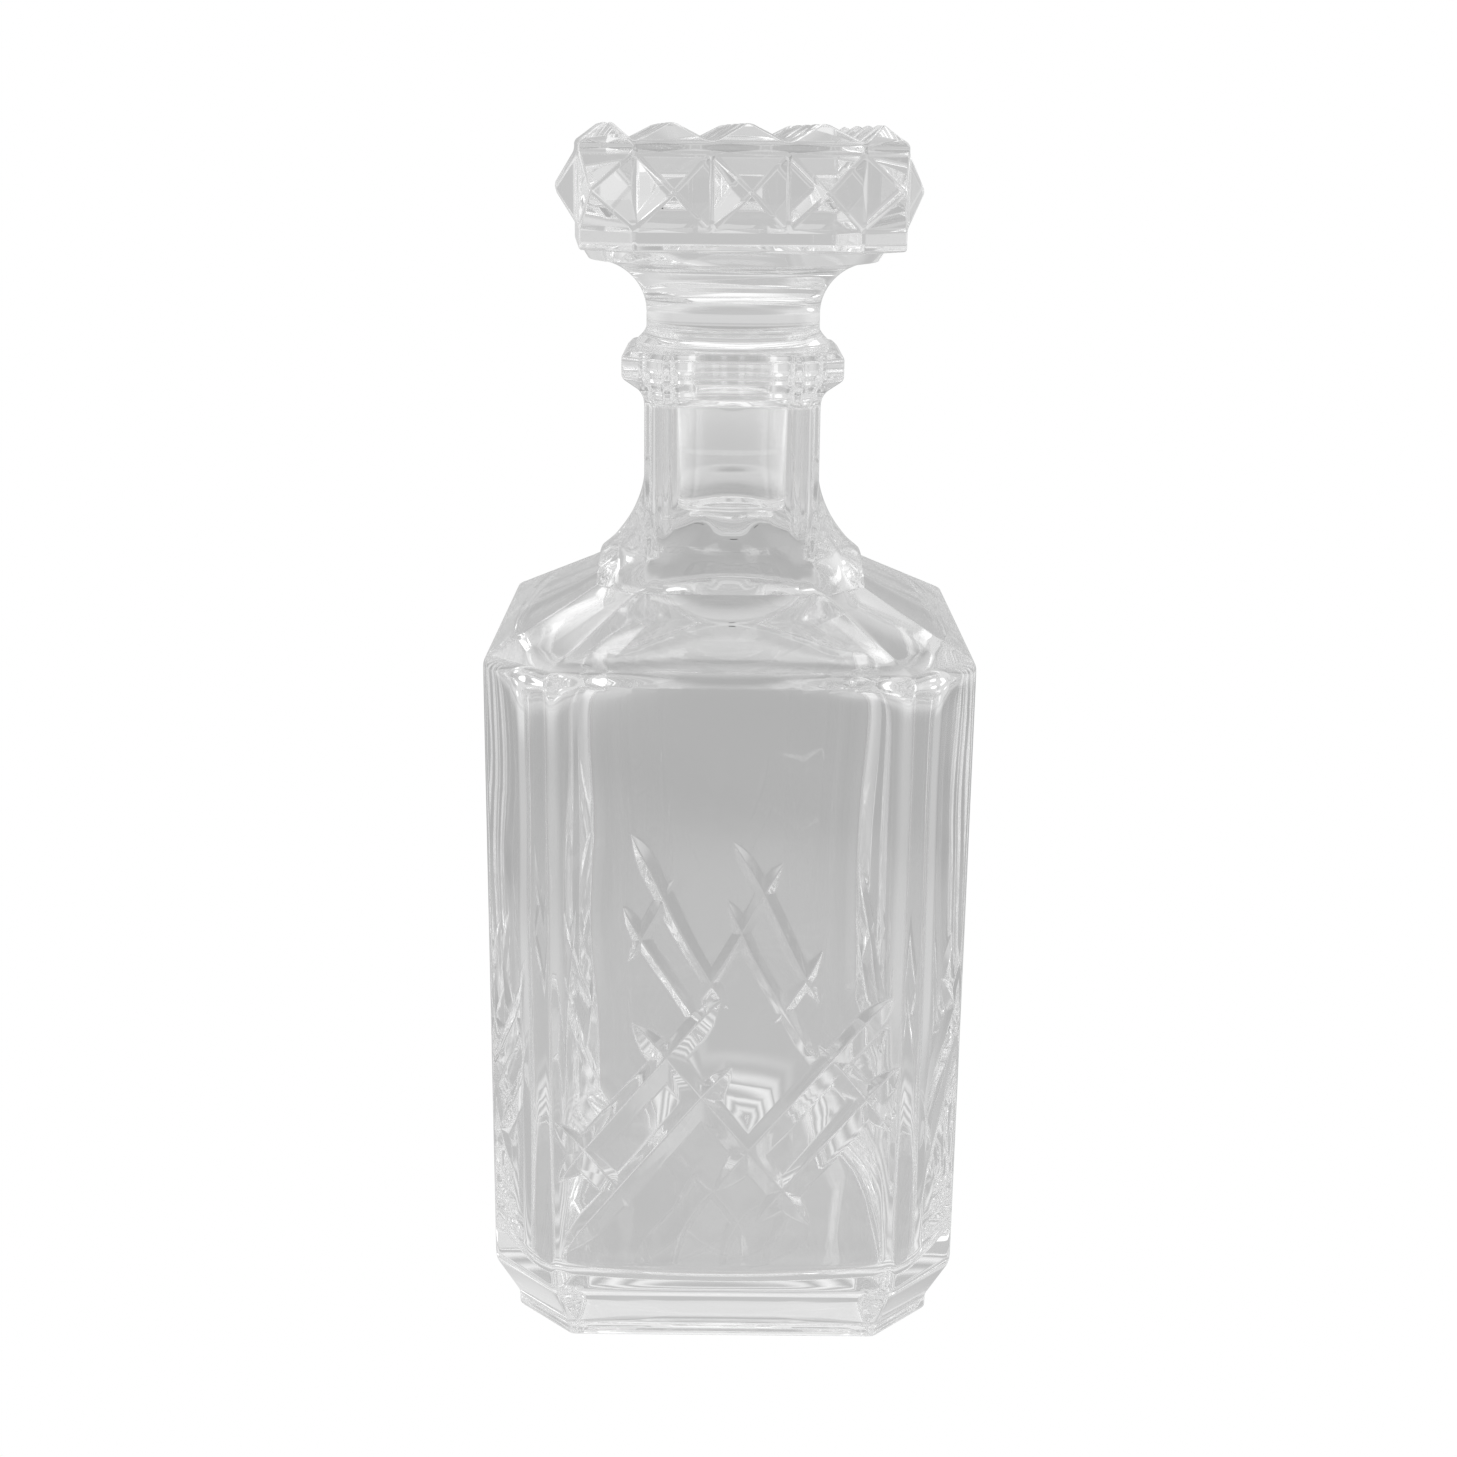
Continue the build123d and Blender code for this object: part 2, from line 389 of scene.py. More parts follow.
@dataclass
class Lattice:
    """The band of crossed mitre cuts low on each face, made by a V-edged wheel."""

    depth: float = 1.5
    half_width: float = 2.7
    wheel_radius: float = 27.0
    angle: float = 51.0
    pitch: float = 24.7
    pair_gap: float = 10.4
    centre_height: float = 47.0
    soft_edge: float = 0.34
    wheel_tip: float = 0.28
    run_in_steps: int = 9

    def cuts(self) -> list[MitreCut]:
        """The cuts of one face: rising ones in pairs, falling ones single.

        Returns:
            Each cut's middle, length and slope.
        """
        rise = (cos(radians(self.angle)), sin(radians(self.angle)))
        fall = (rise[0], -rise[1])
        inner = (self.pitch - self.pair_gap) / 2
        outer = inner + self.pair_gap
        # place along the falling line, then the lower and upper ends along the rising line
        rising = [(-outer, -32.5, 16.5), (-inner, -41.5, 9.2), (inner, -10.0, 42.0)]
        rising.append((outer, -8.0, 34.5))
        # place along the rising line, then the upper and lower ends along the falling line
        falling = [(-self.pitch, -26.0, -2.3), (0.0, -27.8, 26.0), (self.pitch, 2.4, 25.2)]
        made = []
        for rows, across_line, along_line, angle in (
            (rising, fall, rise, self.angle),
            (falling, rise, fall, -self.angle),
        ):
            for place, low, high in rows:
                middle = (low + high) / 2
                made.append(MitreCut(
                    across_line[0] * place + along_line[0] * middle,
                    self.centre_height + across_line[1] * place + along_line[1] * middle,
                    high - low,
                    angle,
                ))
        return made

    def section(self, depth: float) -> list[tuple[float, float]]:
        """The cut's outline across its length, as (across, out of the face).

        The wheel leaves a narrow round at the bottom, and polishing eases both upper edges.

        Args:
            depth: How deep the cut is at this place.

        Returns:
            The outline's points, in order.
        """
        slope = self.half_width / self.depth
        half = depth * slope
        ease = min(self.soft_edge, half * 0.45)
        lift = 0.6
        floor = min(self.wheel_tip, half * 0.2)
        right = [
            (floor, -depth + floor * 0.25),
            (half - ease, -ease / slope),
            (half + ease + lift * 2 * slope, lift),
        ]
        return [(0.0, -depth)] + right + [(-across, out) for across, out in reversed(right)]

    def tool(self, cut: MitreCut, turn: int, face_distance: float) -> bpy.types.Object:
        """The solid that takes out one cut.

        Args:
            cut: Where the cut is and how long.
            turn: Which face it is on, in quarter turns.
            face_distance: How far the face stands from the middle.

        Returns:
            A closed mesh that reaches a little out of the face.
        """
        run_in = sqrt(2 * self.wheel_radius * self.depth - self.depth**2)
        straight = cut.length / 2 - run_in
        stations = []
        for step in range(self.run_in_steps + 1):
            t = 0.02 + 0.98 * step / self.run_in_steps
            back = run_in * (1 - t)
            depth = self.depth - self.wheel_radius + sqrt(self.wheel_radius**2 - back**2)
            stations.append((straight + back, depth))
        along = [(-place, depth) for place, depth in stations] + stations[::-1]
        direction = Vector((cos(radians(cut.angle)), 0, sin(radians(cut.angle))))
        outward = Vector((0, -1, 0))
        sideways = outward.cross(direction)
        middle = Vector((cut.across, -face_distance, cut.up))
        turning = Matrix.Rotation(turn * pi / 2, 3, "Z")
        points = []
        for place, depth in along:
            for across, out in self.section(depth):
                spot = middle + direction * place + sideways * across + outward * out
                points.append(tuple(turning @ spot))
        count = len(self.section(self.depth))
        faces = quads(len(along), count)
        last = (len(along) - 1) * count
        faces.append(tuple(range(count)))
        faces.append(tuple(range(last, last + count)))
        return mesh_from(f"cut_{turn}_{cut.across:.0f}_{cut.up:.0f}", points, faces)

    def tools(self, face_distance: float) -> list[bpy.types.Object]:
        """The solids for every cut on all four faces."""
        return [
            self.tool(cut, turn, face_distance) for turn in range(4) for cut in self.cuts()
        ]


@dataclass(frozen=True)
class Wave:
    """A slow wave round the blown inside that turns as it climbs, in millimetres and radians."""

    height: float
    lobes: int
    climb: float
    phase: float


@dataclass
class Bottle:
    """The blown and pressed bottle: foot, body, shoulder, neck and collar in one piece.

    Its outside is a canted square all the way up, with a round bell between neck and shoulder
    that is cut back to a canted plinth. Its inside is a bowed square under a dome.
    """

    body: CantedSquare = field(default_factory=lambda: CantedSquare(45.0, 12.3))
    foot: CantedSquare = field(default_factory=lambda: CantedSquare(40.7, 11.1))
    plinth: CantedSquare = field(default_factory=lambda: CantedSquare(25.3, 7.6))
    neck: CantedSquare = field(default_factory=lambda: CantedSquare(16.4, 3.7))
    collar: CantedSquare = field(default_factory=lambda: CantedSquare(20.6, 7.7))
    foot_rim_top: float = 3.0
    foot_slope_top: float = 12.2
    foot_hollow_edge: float = 0.6
    foot_hollow_depth: float = 1.5
    foot_rim_width: float = 3.5
    shoulder_edge: float = 134.5
    shoulder_top: float = 145.0
    collar_slope_bottom: float = 180.2
    collar_side_bottom: float = 183.0
    collar_side_top: float = 187.0
    collar_top: float = 188.3
    collar_bevel: float = 1.3
    bell_top: float = 167.0
    bell_radius: float = 22.9
    bell_knee: float = 152.0
    bell_middle: float = 148.9
    chamber_half: float = 40.0
    chamber_side_radius: float = 110.0
    chamber_corner: float = 8.5
    chamber_floor: float = 11.4
    floor_round: float = 5.0
    floor_rise: float = 1.0
    dome_radius: float = 49.5
    dome_spring: float = 121.0
    dome_top_radius: float = 38.0
    dome_top: float = 134.8
    throat_radius: float = 19.0
    throat: float = 142.5
    neck_hollow: CantedSquare = field(default_factory=lambda: CantedSquare(14.0, 2.4))
    neck_hollow_top: float = 179.6
    flare_top: float = 160.0
    bore_radius: float = 12.0
    bore_bottom: float = 180.1
    neck_hollow_round: float = 1.8
    lip_round: float = 1.2
    ridge_softness: float = 0.22
    ridge_crowd: float = 0.06
    plinth_softness: float = 0.18
    bell_softness: float = 0.35
    hollow_softness: float = 0.4
    throat_softness: float = 0.25
    dome_softness: float = 0.8
    swell_fade: float = 20.0
    waves: tuple[Wave, ...] = (
        Wave(0.16, 3, 9.0, 0.6), Wave(0.12, 5, -14.0, 2.1), Wave(0.10, 2, 5.5, 4.0),
    )
    lattice: Lattice = field(default_factory=Lattice)

    def angles(self, ridge: float) -> np.ndarray:
        """Directions round the axis for one ring, crowded where flats meet corners.

        Args:
            ridge: The direction of the first ridge, in radians from the middle of a flat.

        Returns:
            The directions of the ring's points, in order.
        """
        crowd = self.ridge_crowd
        near = ridge + crowd * np.array([-1, -0.6, -0.35, -0.15, 0, 0.15, 0.35, 0.6, 1])
        flat = np.linspace(0, ridge - crowd, 7)[:-1]
        corner = np.linspace(ridge + crowd, pi / 4, 4)[1:]
        eighth = np.concatenate([flat, near, corner])
        quarter = np.concatenate([eighth, pi / 2 - eighth[-2:0:-1]])
        return np.concatenate([quarter + turn * pi / 2 for turn in range(4)])

    @staticmethod
    def canted_radius(angles: np.ndarray, flat: float, corner: float, softness: float) -> np.ndarray:
        """How far out a canted square reaches in each direction.

        Args:
            angles: The directions, in radians.
            flat: How far the flats stand from the axis.
            corner: How far the corners stand from the axis.
            softness: How far the ridges are blended.

        Returns:
            The reach in each direction.
        """
        distances = np.array([flat, corner] * 4)
        normals = np.arange(8) * pi / 4
        facing = np.cos(angles[None, :] - normals[:, None])
        reach = np.where(facing > 0.3, distances[:, None] / np.maximum(facing, 0.3), 1e3)
        return soft_min(reach, softness)

    def bell_reach(self, height: float) -> float:
        """How far out the round bell reaches at a height.

        Args:
            height: The height above the table.

        Returns:
            The radius, or 0 above the bell.
        """
        centre = self.neck.half + self.bell_radius
        if height >= self.bell_top:
            return 0.0
        if height >= self.bell_knee:
            drop = self.bell_top - height
            return centre - sqrt(self.bell_radius**2 - drop**2)
        knee = centre - sqrt(self.bell_radius**2 - (self.bell_top - self.bell_knee) ** 2)
        skirt = hypot(self.plinth.half, self.plinth.half - self.plinth.cant)
        middle_share = (self.plinth.half - knee) / (skirt - knee)
        fall = (self.bell_knee - height) / (self.bell_knee - self.shoulder_top)
        middle_fall = (self.bell_knee - self.bell_middle) / (self.bell_knee - self.shoulder_top)
        power = np.log(middle_share) / np.log(middle_fall)
        return knee + (skirt - knee) * min(fall, 1.2) ** power

    def outer_ring(self, flat: float, corner: float, height: float) -> np.ndarray:
        """One ring of the outside.

        Args:
            flat: How far the flats stand from the axis.
            corner: How far the corners stand from the axis.
            height: The ring's height.

        Returns:
            The ring's points.
        """
        own_ridge = np.arctan2(corner * sqrt(2) - flat, flat)
        neck_zone = self.shoulder_top - 0.5 <= height <= self.bell_top
        if neck_zone:
            plinth_ridge = np.arctan2(self.plinth.half - self.plinth.cant, self.plinth.half)
            share = min(1.0, max(0.0, (height - self.bell_knee) / 8.0))
            own_ridge = plinth_ridge + (own_ridge - plinth_ridge) * share
        angles = self.angles(own_ridge)
        reach = self.canted_radius(angles, flat, corner, self.ridge_softness)
        if neck_zone:
            plinth = self.canted_radius(angles, *self.plinth.station, self.ridge_softness)
            bell = np.full_like(plinth, self.bell_reach(height))
            skirt = soft_min(np.array([plinth, bell]), self.plinth_softness)
            reach = soft_max(np.array([reach, skirt]), self.bell_softness)
        return ring(reach, angles, height)

    def outer_stations(self) -> np.ndarray:
        """The outside from foot to collar, as rows of flat distance, corner distance and height.

        Returns:
            The stations, one a row.
        """
        foot, body, neck, collar = (s.station for s in (self.foot, self.body, self.neck, self.collar))
        inset = self.foot_rim_width
        hollow = (foot[0] - inset, foot[1] - inset)
        bevelled = (collar[0] - self.collar_bevel, collar[1] - self.collar_bevel)
        lower = rounded(
            [
                (2.0, 2.4, self.foot_hollow_depth),
                (hollow[0] * 0.45, hollow[1] * 0.45, self.foot_hollow_depth),
                (*hollow, self.foot_hollow_edge),
                (hollow[0] + 0.7, hollow[1] + 0.7, 0.0),
                (*foot, 0.0),
                (*foot, self.foot_rim_top),
                (*body, self.foot_slope_top),
                (*body, self.shoulder_edge),
                (*self.plinth.station, self.shoulder_top),
            ],
            [0, 9.0, 0.3, 0.3, 0.9, 0.8, 1.6, 1.8, 0],
        )
        neck_rise = [(*neck, height) for height in np.arange(145.3, 167.6, 0.55)]
        upper = rounded(
            [
                (*neck, self.bell_top + 1.0),
                (*neck, self.collar_slope_bottom),
                (*collar, self.collar_side_bottom),
                (*collar, self.collar_side_top),
                (*bevelled, self.collar_top),
                (self.bore_radius + 2.0, self.bore_radius + 2.0, self.collar_top),
            ],
            [0, 2.2, 0.8, 0.5, 0.8, 0],
            steps=6,
        )
        path = np.concatenate([lower, np.array(neck_rise), upper])
        return subdivided(path, 6.0)

    def chamber_reach(self, angles: np.ndarray) -> np.ndarray:
        """How far out the bowed sides of the hollow and its round corners reach.

        Args:
            angles: The directions, in radians.

        Returns:
            The reach in each direction.
        """
        offset = self.chamber_side_radius - self.chamber_half
        turns = angles[None, :] - (np.arange(4) * pi / 2)[:, None]
        inside = self.chamber_side_radius**2 - (offset * np.sin(turns)) ** 2
        sides = (np.sqrt(inside) - offset * np.cos(turns)).min(axis=0)
        from_corner = np.mod(angles, pi / 2) - pi / 4
        corner_place = self.corner_place()
        near = np.clip(corner_place * np.sin(from_corner), -self.chamber_corner, self.chamber_corner)
        corner = corner_place * np.cos(from_corner) + np.sqrt(self.chamber_corner**2 - near**2)
        return np.where(np.abs(from_corner) < pi / 4 - self.chamber_ridge(), corner, sides)

    def corner_place(self) -> float:
        """How far from the axis the middle of each round corner of the hollow is."""
        offset = self.chamber_side_radius - self.chamber_half
        reach = self.chamber_side_radius - self.chamber_corner
        return (sqrt(2 * reach**2 - offset**2) - offset) / sqrt(2)

    def chamber_ridge(self) -> float:
        """The direction in which a bowed side of the hollow runs into its round corner."""
        offset = self.chamber_side_radius - self.chamber_half
        place = self.corner_place() / sqrt(2)
        share = self.chamber_side_radius / (self.chamber_side_radius - self.chamber_corner)
        return np.arctan2(place * share, (offset + place) * share - offset)

    def swell(self, angles: np.ndarray, height: float) -> np.ndarray:
        """The slow unevenness of the blown inside, in millimetres, fading out in the neck.

        Args:
            angles: The directions, in radians.
            height: The height above the table.

        Returns:
            How far the wall stands out in each direction.
        """
        fade = min(1.0, max(0.0, (self.flare_top - height) / self.swell_fade))
        return fade * sum(
            wave.height * np.sin(wave.lobes * angles + height / wave.climb + wave.phase)
            for wave in self.waves
        )

    def inner_angles(self, height: float) -> np.ndarray:
        """Directions for one ring of the inside, easing from the mouth's to the chamber's.

        Args:
            height: The ring's height.

        Returns:
            The directions of the ring's points, in order.
        """
        mouth = np.arctan2(self.collar.half - self.collar.cant, self.collar.half)
        share = min(1.0, max(0.0, (self.collar_top - height) / (self.collar_top - self.throat)))
        return self.angles(mouth + (self.chamber_ridge() - mouth) * share)

    def inner_rings(self) -> list[np.ndarray]:
        """The inside from the mouth down to the middle of the floor.

        Returns:
            The rings, from the top down.
        """
        turned = rounded(
            [
                (self.bore_radius, self.collar_top - self.lip_round),
                (self.bore_radius, self.bore_bottom),
                (self.neck_hollow.half, self.neck_hollow_top - self.neck_hollow_round),
                (self.neck_hollow.half, self.flare_top),
                (self.neck_hollow.half + 0.5, self.throat + 11.0),
                (self.throat_radius, self.throat),
                (self.dome_top_radius, self.dome_top),
                (self.dome_radius - 1.5, self.dome_spring + 8.5),
                (self.dome_radius, self.dome_spring - 5.0),
                (self.dome_radius + 3.0, self.dome_spring - 15.0),
            ],
            [0, 0.8, 0.8, 3.0, 4.5, 9.0, 9.0, 5.0, 4.0, 0],
            steps=10,
        )
        rings = []
        for radius, height in subdivided(turned, 2.0):
            angles = self.inner_angles(height)
            reach = np.full_like(angles, radius)
            if self.throat - 1 < height < self.neck_hollow_top:
                wide = self.canted_radius(angles, *self.neck_hollow.station, self.hollow_softness)
                open_share = min(1.0, (self.neck_hollow_top - height) / self.neck_hollow_round)
                wide = radius + (wide - radius) * sqrt(1 - (1 - open_share) ** 2)
                reach = soft_max(np.array([reach, wide]), self.throat_softness)
            reach = soft_min(np.array([self.chamber_reach(angles), reach]), self.dome_softness)
            rings.append((angles, reach + self.swell(angles, height), height))
        angles = self.inner_angles(self.dome_spring)
        section = self.chamber_reach(angles)
        low_wall = self.chamber_floor + self.floor_round
        for height in np.arange(turned[-1][1] - 3.0, low_wall, -3.0):
            rings.append((angles, section + self.swell(angles, height), height))
        for turn in np.linspace(0, pi / 2, 11):
            inset = self.floor_round * (1 - cos(turn))
            height = low_wall - self.floor_round * sin(turn)
            rings.append((angles, section - inset + self.swell(angles, height), height))
        edge = section - self.floor_round
        for share in np.linspace(1, 0, 16)[1:-1]:
            rise = self.floor_rise * (1 - share**2) ** 2
            rings.append((angles, edge * share, self.chamber_floor + rise))
        return [ring(reach, around, height) for around, reach, height in rings]

    def mouth_rings(self) -> list[np.ndarray]:
        """The rounded lip that leads from the collar's top into the bore.

        Returns:
            The rings, from the outside in.
        """
        angles = self.angles(np.arctan2(self.collar.half - self.collar.cant, self.collar.half))
        rings = []
        for turn in np.linspace(0, pi / 2, 5)[:-1]:
            radius = self.bore_radius + self.lip_round * (1 - sin(turn))
            height = self.collar_top - self.lip_round * (1 - cos(turn))
            rings.append(ring(np.full_like(angles, radius), angles, height))
        return rings

    def mesh(self) -> bpy.types.Object:
        """Builds the bottle, hollow and cut.

        Returns:
            The bottle's mesh object.
        """
        rings = [self.outer_ring(*station) for station in self.outer_stations()]
        rings += self.mouth_rings() + self.inner_rings()
        bottle = skin_of_rings("bottle_glass", rings)
        carve(bottle, self.lattice.tools(self.body.half), "DIFFERENCE")
        polish(bottle, crease=32.0)
        return bottle

    def dress(self, piece: bpy.types.Object) -> None:
        """Gives the bottle its crystal.

        Args:
            piece: The bottle's mesh object.
        """
        crystal = LeadCrystal("lead_crystal_pressed", Surface.PRESSED)
        piece.data.materials.clear()
        piece.data.materials.append(crystal.material())

    def build(self) -> bpy.types.Object:
        """Makes and dresses the bottle, and sets it on its body.

        Returns:
            The finished piece.
        """
        piece = self.mesh()
        self.dress(piece)
        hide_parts("bottle")
        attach(piece, "bottle")
        return piece


# ---------------------------------------------------------------- stopper


@dataclass
class DiamondHead:
    """The square head of the stopper, set all over with diamond points."""

    half: float = 29.45
    facet: float = 13.35
    facets_per_side: int = 3
    bottom: float = 206.5
    points_bottom: float = 210.4
    points_top: float = 223.4
    side_reach: float = 4.15
    crown_base: float = 225.2
    crown_reach: float = 3.5
    crown_corner_tip: float = 24.0
    edge_round: float = 0.6

    def rim(self) -> list[tuple[float, float]]:
        """The corners of the head's outline, anticlockwise, one between every two facets.

        Returns:
            The corners, across and along.
        """
        flat = self.facet * self.facets_per_side / 2
        steps = [flat - self.facet * index for index in range(self.facets_per_side + 1)]
        side = [(-step, -self.half) for step in steps]
        corners = []
        for turn in range(4):
            for x, y in side:
                c, s = round(cos(turn * pi / 2)), round(sin(turn * pi / 2))
                corners.append((x * c - y * s, x * s + y * c))
        return corners

    def mesh(self) -> bpy.types.Object:
        """Builds the head as one closed skin with softened edges.

        Returns:
            The head's mesh object.
        """
        shape = bmesh.new()
        rim = self.rim()
        count = len(rim)
        levels = [
            [shape.verts.new((x, y, height)) for x, y in rim]
            for height in (self.bottom, self.points_bottom, self.points_top, self.crown_base)
        ]
        shape.faces.new(list(reversed(levels[0])))
        middle = (self.points_bottom + self.points_top) / 2
        for index in range(count):
            after = (index + 1) % count
            for low, high in ((0, 1), (2, 3)):
                shape.faces.new(
                    (levels[low][index], levels[low][after], levels[high][after], levels[high][index])
                )
            base = [levels[1][index], levels[1][after], levels[2][after], levels[2][index]]
            centre = Vector(rim[index]).lerp(Vector(rim[after]), 0.5)
            outward = Vector((rim[after][1] - rim[index][1], rim[index][0] - rim[after][0]))
            tip = centre + outward.normalized() * self.side_reach
            self.raise_point(shape, base, (tip.x, tip.y, middle))
        self.crown(shape, levels[3])
        bmesh.ops.recalc_face_normals(shape, faces=shape.faces)
        ridges = [
            edge for edge in shape.edges
            if len(edge.link_faces) == 2 and edge.calc_face_angle() > radians(4)
        ]
        bmesh.ops.bevel(
            shape, geom=ridges, offset=self.edge_round, segments=3, profile=0.5,
            affect="EDGES", clamp_overlap=True,
        )
        bmesh.ops.scale(shape, vec=(MM, MM, MM), verts=shape.verts)
        mesh = bpy.data.meshes.new("stopper_head")
        shape.to_mesh(mesh)
        shape.free()
        return placed("stopper_head", mesh)

    @staticmethod
    def raise_point(shape: bmesh.types.BMesh, base: list[bmesh.types.BMVert], tip: Point) -> None:
        """Closes a base with a pyramid that rises to tip.

        Args:
            shape: The mesh being built.
            base: The corners of the base, in order.
            tip: Where the point's tip is.
        """
        top = shape.verts.new(tip)
        for first, second in zip(base, base[1:] + base[:1]):
            shape.faces.new((first, second, top))

    def crown(self, shape: bmesh.types.BMesh, edge: list[bmesh.types.BMVert]) -> None:
        """Covers the top with points: a row round the rim and a grid inside it.

        Args:
            shape: The mesh being built.
            edge: The rim's corners at the crown's base, anticlockwise from the front left.
        """
        flat = self.facet * self.facets_per_side / 2
        lines = [-flat + self.facet * index for index in range(self.facets_per_side + 1)]
        grid = {
            (i, j): shape.verts.new((x, y, self.crown_base))
            for i, x in enumerate(lines) for j, y in enumerate(lines)
        }
        last = self.facets_per_side
        tip_height = self.crown_base + self.crown_reach
        for i in range(last):
            for j in range(last):
                base = [grid[i, j], grid[i + 1, j], grid[i + 1, j + 1], grid[i, j + 1]]
                tip = ((lines[i] + lines[i + 1]) / 2, (lines[j] + lines[j + 1]) / 2, tip_height)
                self.raise_point(shape, base, tip)
        inner_sides = [
            [grid[i, 0] for i in range(last + 1)],
            [grid[last, j] for j in range(last + 1)],
            [grid[last - i, last] for i in range(last + 1)],
            [grid[0, last - j] for j in range(last + 1)],
        ]
        per_side = last + 1
        for turn, inner in enumerate(inner_sides):
            outer = edge[turn * per_side:(turn + 1) * per_side]
            for step in range(last):
                base = [outer[step], outer[step + 1], inner[step + 1], inner[step]]
                middle = sum((v.co for v in base), Vector()) / len(base)
                self.raise_point(shape, base, (middle.x, middle.y, tip_height))
            following = edge[(turn + 1) * per_side % len(edge)]
            base = [outer[last], following, inner[last]]
            place = Vector((self.crown_corner_tip, -self.crown_corner_tip, 0))
            place.rotate(Euler((0, 0, turn * pi / 2)))
            self.raise_point(shape, base, (place.x, place.y, tip_height))


@dataclass
class Stopper:
    """The solid stopper: a diamond head on a spool, with a seat, a plug and a nub below."""

    head: DiamondHead = field(default_factory=DiamondHead)
    turn_degrees: float = 5.0
    spool_top_radius: float = 29.0
    spool_lip_radius: float = 26.9
    spool_lip: float = 204.0
    waist_radius: float = 16.4
    waist_top: float = 194.4
    waist_bottom: float = 191.4
    seat_radius: float = 18.4
    seat: float = 188.3
    plug_top_radius: float = 11.7
    plug_bottom_radius: float = 10.6
    plug_bottom: float = 157.5
    plug_chamfer_radius: float = 7.9
    plug_chamfer_bottom: float = 156.0
    nub_radius: float = 6.7
    nub_bottom: float = 153.7
    around: int = 112

    def outline(self) -> np.ndarray:
        """The turned part's outline from the nub up, as rows of radius and height.

        Returns:
            The outline's points, one a row.
        """
        scotia_centre = (self.spool_lip_radius, self.waist_top)
        width = self.spool_lip_radius - self.waist_radius
        rise = self.spool_lip - self.waist_top
        scotia = [
            (scotia_centre[0] - width * cos(turn), scotia_centre[1] + rise * sin(turn))
            for turn in np.linspace(0, pi / 2 * 0.97, 22)
        ]
        below = rounded(
            [
                (0.4, self.nub_bottom),
                (self.nub_radius, self.nub_bottom),
                (self.nub_radius, self.plug_chamfer_bottom),
                (self.plug_chamfer_radius, self.plug_chamfer_bottom),
                (self.plug_bottom_radius, self.plug_bottom),
                (self.plug_top_radius, self.seat + 0.05),
                (self.seat_radius, self.seat + 0.05),
                (self.seat_radius, self.seat + 0.7),
                (self.waist_radius + 0.5, self.waist_bottom - 0.9),
                (self.waist_radius, self.waist_bottom),
                scotia[0],
            ],
            [0, 0.5, 0.4, 0.3, 0.9, 0.4, 0.25, 0.3, 0.8, 0.5, 0],
        )
        above = rounded(
            [scotia[-1], (self.spool_lip_radius + 0.3, self.spool_lip + 0.1),
             (self.spool_top_radius, self.head.bottom + 0.4), (0.4, self.head.bottom + 0.4)],
            [0, 0.2, 0.0, 0],
        )
        return subdivided(np.concatenate([below, np.array(scotia[1:-1]), above]), 3.0)

    def turning(self) -> bpy.types.Object:
        """The turned part as a closed mesh."""
        angles = np.linspace(0, 2 * pi, self.around, endpoint=False)
        rings = [
            ring(np.full_like(angles, radius), angles, height) for radius, height in self.outline()
        ]
        return skin_of_rings("stopper_turning", rings)

    def mesh(self) -> bpy.types.Object:
        """Joins the head and the turned part into one piece of glass.

        Returns:
            The stopper's mesh object.
        """
        stopper = self.head.mesh()
        stopper.name = "stopper_glass"
        carve(stopper, [self.turning()], "UNION")
        stopper.data.transform(Matrix.Rotation(radians(self.turn_degrees), 4, "Z"))
        polish(stopper, crease=32.0)
        return stopper

    def dress(self, piece: bpy.types.Object) -> None:
        """Gives the stopper its crystal.

        Args:
            piece: The stopper's mesh object.
        """
        crystal = LeadCrystal("lead_crystal_fire_polished", Surface.FIRE_POLISHED)
        piece.data.materials.clear()
        piece.data.materials.append(crystal.material())

    def build(self) -> bpy.types.Object:
        """Makes and dresses the stopper, and sets it on its body.

        Returns:
            The finished piece.
        """
        piece = self.mesh()
        self.dress(piece)
        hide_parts("stopper")
        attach(piece, "stopper")
        return piece


# ---------------------------------------------------------------- studio


@dataclass
class Camera:
    """A normal lens a little above the decanter's shoulder, looking down at its middle."""

    distance: float = 0.3959
    height: float = 0.2254
    pitch_degrees: float = 15.94
    roll_degrees: float = 0.656
    orbit_degrees: float = -0.2
    lens_mm: float = 50.84
    sensor_mm: float = 36.0

    def build(self) -> bpy.types.Object:
        """Makes the scene's camera.

        Returns:
            The camera object.
        """
        lens = bpy.data.cameras.new("studio_camera")
        lens.lens = self.lens_mm
        lens.sensor_width = self.sensor_mm
        lens.clip_start = 0.01
        camera = placed("studio_camera", lens)
        place = Vector((0, -self.distance, self.height))
        orbit = Matrix.Rotation(radians(self.orbit_degrees), 4, "Z")
        tilt = Matrix.Rotation(radians(90 - self.pitch_degrees), 4, "X")
        roll = Matrix.Rotation(radians(self.roll_degrees), 4, "Z")
        camera.matrix_world = orbit @ Matrix.Translation(place) @ tilt @ roll
        bpy.context.scene.camera = camera
        return camera


@dataclass(frozen=True)
class Fade:
    """A soft change of brightness from one level to another as a measure goes from start to end."""

    start: float
    end: float
    low: float
    high: float

    def inputs(self, value: bpy.types.NodeSocket) -> dict[str, object]:
        """The inputs with which a map range node follows this fade."""
        spans = {"From Min": self.start, "From Max": self.end, "To Min": self.low, "To Max": self.high}
        return {"Value": value, **spans}


@dataclass(frozen=True)
class Glow:
    """A patch of the light tent that is brighter or darker than the rest, with a soft edge."""

    towards: Point
    inner_degrees: float
    outer_degrees: float
    strength: float


